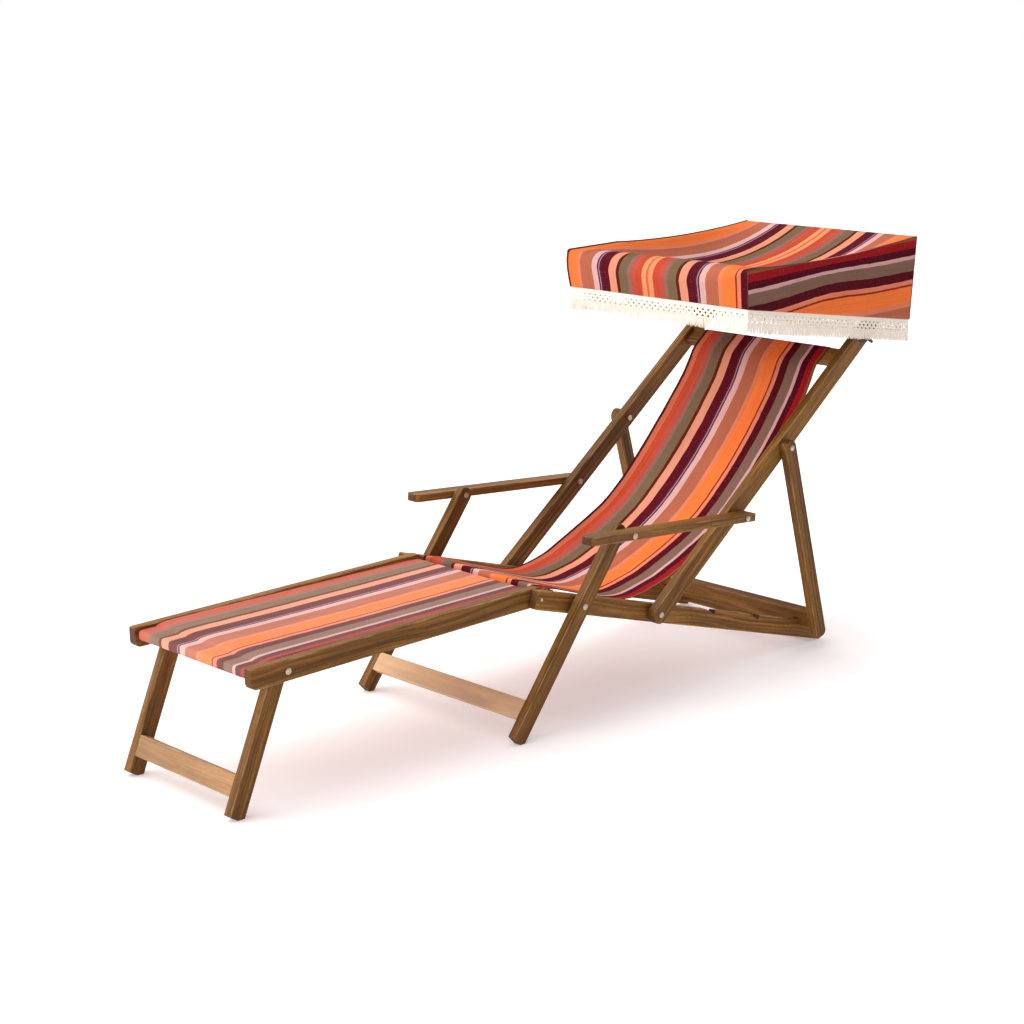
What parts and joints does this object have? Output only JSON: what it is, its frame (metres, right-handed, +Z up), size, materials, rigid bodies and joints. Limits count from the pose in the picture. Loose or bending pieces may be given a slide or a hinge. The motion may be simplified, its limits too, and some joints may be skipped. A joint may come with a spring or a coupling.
{
  "type": "reclining deck chair with footrest and canopy",
  "caption": "Folding timber deck chair with arms, a hinged footrest, striped canvas slings and a square cloth canopy edged with fringe.",
  "frame": {"origin": "on the floor under the middle of the bounding box", "axes": "+Z up, the sitter faces -Y, +X to the left of the sitter"},
  "size_m": [0.637, 2.1614, 1.0307],
  "materials": {
    "timber": "oiled hardwood with a soft sheen",
    "canvas": "woven striped cotton canvas",
    "lace": "off-white cotton lace",
    "zinc": "dull zinc plate",
    "dark_steel": "dark satin steel"
  },
  "bodies": {
    "seat_frame": {"footrest_pin_left": "zinc", "footrest_pin_right": "zinc", "leg_bolt_left": "zinc", "leg_bolt_right": "zinc", "leg_spacer_left": "timber", "leg_spacer_right": "timber", "seat_front_bar": "timber", "seat_rail_left": "timber", "seat_rail_right": "timber", "seat_rear_bar": "timber", "stile_bolt_left": "zinc", "stile_bolt_right": "zinc", "stile_spacer_left": "timber", "stile_spacer_right": "timber"},
    "back_frame": {"arm_rear_bolt_left": "zinc", "arm_rear_bolt_right": "zinc", "back_stile_left": "timber", "back_stile_right": "timber", "canopy_bolt_left": "dark_steel", "canopy_bolt_right": "dark_steel", "canopy_wing_nut_left": "dark_steel", "canopy_wing_nut_right": "dark_steel", "head_bar": "timber", "main_sling": "canvas", "prop_bolt_left": "zinc", "prop_bolt_right": "zinc"},
    "front_legs": {"front_leg_bar": "timber", "front_leg_left": "timber", "front_leg_right": "timber", "leg_top_stud_left": "zinc", "leg_top_stud_right": "zinc"},
    "arm_left": {"arm_front_bolt_left": "zinc", "arm_left": "timber"},
    "arm_right": {"arm_front_bolt_right": "zinc", "arm_right": "timber"},
    "prop_frame": {"prop_bar": "timber", "prop_strut_left": "timber", "prop_strut_right": "timber"},
    "footrest": {"foot_bar": "timber", "footrest_leg_bolt_left": "zinc", "footrest_leg_bolt_right": "zinc", "footrest_rail_left": "timber", "footrest_rail_right": "timber", "footrest_rear_bar": "timber", "footrest_sling": "canvas"},
    "footrest_legs": {"footrest_leg_bar": "timber", "footrest_leg_left": "timber", "footrest_leg_right": "timber"},
    "canopy": {"canopy_bracket_left": "dark_steel", "canopy_bracket_right": "dark_steel", "canopy_cover": "canvas", "canopy_fringe": "lace", "canopy_front_bar": "timber", "canopy_rail_left": "timber", "canopy_rail_right": "timber", "canopy_rear_bar": "timber"}
  },
  "joints": [
    {"name": "recline", "type": "hinge", "parent": "seat_frame", "child": "back_frame", "pos_m": [0, 0.12684, 0.2084], "axis": [1, 0, 0], "range_deg": [0, 16], "deforming": ["main_sling"]},
    {"name": "front_leg_hinge", "type": "hinge", "parent": "seat_frame", "child": "front_legs", "pos_m": [0, -0.13466, 0.2817], "axis": [1, 0, 0], "range_deg": [0, 22]},
    {"name": "arm_hinge_left", "type": "hinge", "parent": "back_frame", "child": "arm_left", "pos_m": [0, 0.38461, 0.40684], "axis": [1, 0, 0], "range_deg": [-12, 0]},
    {"name": "arm_hinge_right", "type": "hinge", "parent": "back_frame", "child": "arm_right", "pos_m": [0, 0.38461, 0.40684], "axis": [1, 0, 0], "range_deg": [-12, 0]},
    {"name": "prop_swing", "type": "hinge", "parent": "back_frame", "child": "prop_frame", "pos_m": [0, 0.57098, 0.55031], "axis": [1, 0, 0], "range_deg": [0, 60]},
    {"name": "footrest_lift", "type": "hinge", "parent": "seat_frame", "child": "footrest", "pos_m": [0, -0.23866, 0.3115], "axis": [1, 0, 0], "range_deg": [-60, 0]},
    {"name": "footrest_leg_fold", "type": "hinge", "parent": "footrest", "child": "footrest_legs", "pos_m": [0, -0.94306, 0.2982], "axis": [1, 0, 0], "range_deg": [0, 110], "deforming": ["footrest_sling"]},
    {"name": "canopy_tilt", "type": "hinge", "parent": "back_frame", "child": "canopy", "pos_m": [0, 0.88358, 0.79096], "axis": [1, 0, 0], "range_deg": [-30, 30]}
  ],
  "couplings": [
    {"joint": "front_leg_hinge", "follows": "recline", "ratio": 1.36},
    {"joint": "arm_hinge_left", "follows": "recline", "ratio": -0.73},
    {"joint": "arm_hinge_right", "follows": "recline", "ratio": -0.73}
  ]
}
